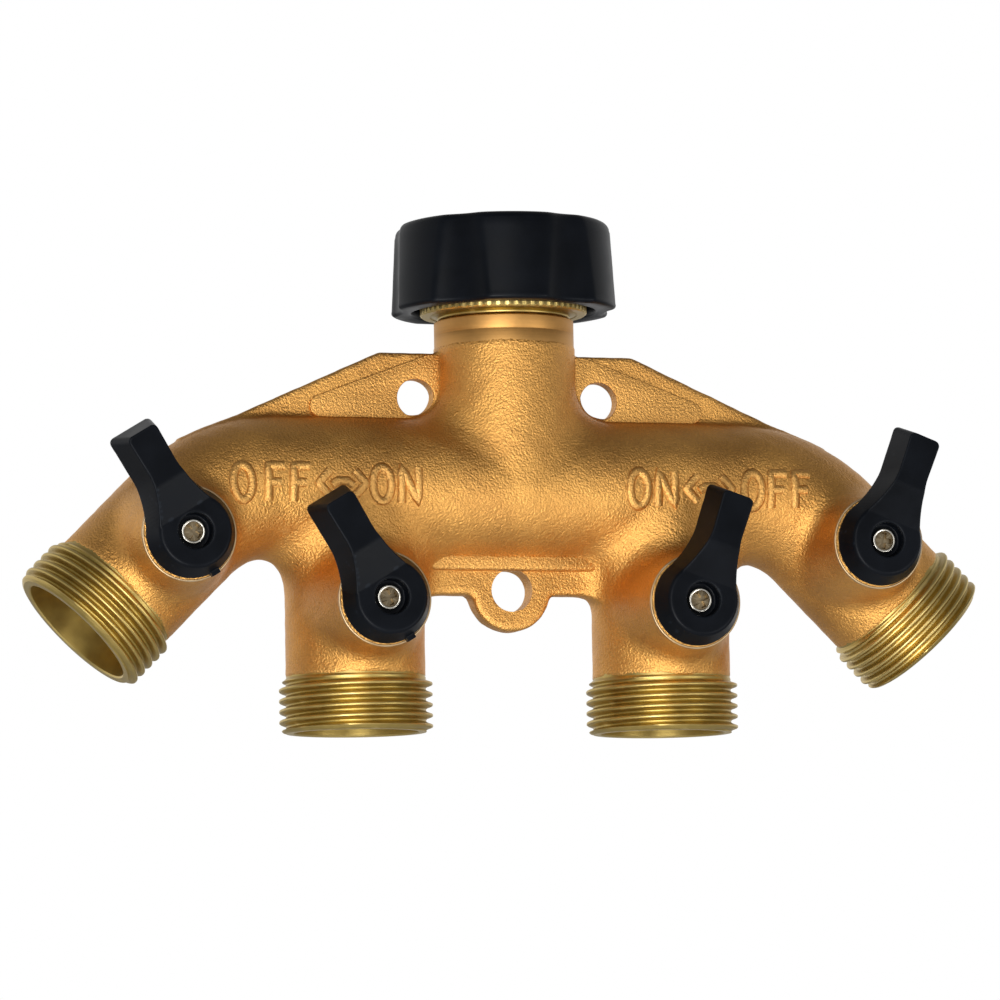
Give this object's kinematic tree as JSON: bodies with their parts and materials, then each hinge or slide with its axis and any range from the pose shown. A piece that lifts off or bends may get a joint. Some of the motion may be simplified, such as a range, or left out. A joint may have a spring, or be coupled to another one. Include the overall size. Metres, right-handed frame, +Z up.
{
  "type": "hose splitter",
  "caption": "Cast brass manifold that splits one tap into several threaded hose outlets, with a swivel inlet nut and a quarter-turn lever ball valve on each outlet.",
  "frame": {"origin": "centre of the inlet nut's mouth, on the neck's axis", "axes": "+X across the outlets, -Y towards the levers, +Z up out of the inlet nut"},
  "size_m": [0.171, 0.0451, 0.0885],
  "materials": {
    "cast_brass": "cast and blasted, matt coppery gold",
    "turned_brass": "turned, bright yellow",
    "black_plastic": "moulded, fine matt",
    "spring_steel": "bright drawn wire",
    "black_rubber": "smooth moulded seal rubber",
    "seat_plastic": "white waxy seat plastic",
    "plated_ball": "polished plating",
    "screw_steel": "nickel plated"
  },
  "bodies": {
    "manifold": {"manifold_body": "cast_brass", "nut_retaining_ring": "spring_steel", "inlet_washer": "black_rubber", "outer_left_inlet_seat": "seat_plastic", "outer_left_outlet_seat": "seat_plastic", "outer_left_seat_retainer": "turned_brass", "outer_left_stem_washer": "seat_plastic", "inner_left_inlet_seat": "seat_plastic", "inner_left_outlet_seat": "seat_plastic", "inner_left_seat_retainer": "turned_brass", "inner_left_stem_washer": "seat_plastic", "inner_right_inlet_seat": "seat_plastic", "inner_right_outlet_seat": "seat_plastic", "inner_right_seat_retainer": "turned_brass", "inner_right_stem_washer": "seat_plastic", "outer_right_inlet_seat": "seat_plastic", "outer_right_outlet_seat": "seat_plastic", "outer_right_seat_retainer": "turned_brass", "outer_right_stem_washer": "seat_plastic"},
    "inlet_nut": {"swivel_nut": "turned_brass", "swivel_nut_grip": "black_plastic"},
    "outer_left_valve": {"outer_left_lever": "black_plastic", "outer_left_lever_screw": "screw_steel", "outer_left_stem": "turned_brass", "outer_left_stem_seals": "black_rubber", "outer_left_ball": "plated_ball"},
    "inner_left_valve": {"inner_left_lever": "black_plastic", "inner_left_lever_screw": "screw_steel", "inner_left_stem": "turned_brass", "inner_left_stem_seals": "black_rubber", "inner_left_ball": "plated_ball"},
    "inner_right_valve": {"inner_right_lever": "black_plastic", "inner_right_lever_screw": "screw_steel", "inner_right_stem": "turned_brass", "inner_right_stem_seals": "black_rubber", "inner_right_ball": "plated_ball"},
    "outer_right_valve": {"outer_right_lever": "black_plastic", "outer_right_lever_screw": "screw_steel", "outer_right_stem": "turned_brass", "outer_right_stem_seals": "black_rubber", "outer_right_ball": "plated_ball"}
  },
  "joints": [
    {"name": "nut_swivel", "type": "hinge", "parent": "manifold", "child": "inlet_nut", "pos_m": [0, 0, -0.016], "axis": [0, 0, 1], "continuous": true},
    {"name": "outer_left_turn", "type": "hinge", "parent": "manifold", "child": "outer_left_valve", "pos_m": [-0.06155, 0, -0.05635], "axis": [0, 1, 0], "range_deg": [0, 90]},
    {"name": "inner_left_turn", "type": "hinge", "parent": "manifold", "child": "inner_left_valve", "pos_m": [-0.0277, 0, -0.067], "axis": [0, 1, 0], "range_deg": [0, 90]},
    {"name": "inner_right_turn", "type": "hinge", "parent": "manifold", "child": "inner_right_valve", "pos_m": [0.0277, 0, -0.067], "axis": [0, -1, 0], "range_deg": [-12, 78]},
    {"name": "outer_right_turn", "type": "hinge", "parent": "manifold", "child": "outer_right_valve", "pos_m": [0.06155, 0, -0.05635], "axis": [0, -1, 0], "range_deg": [-10, 80]}
  ]
}
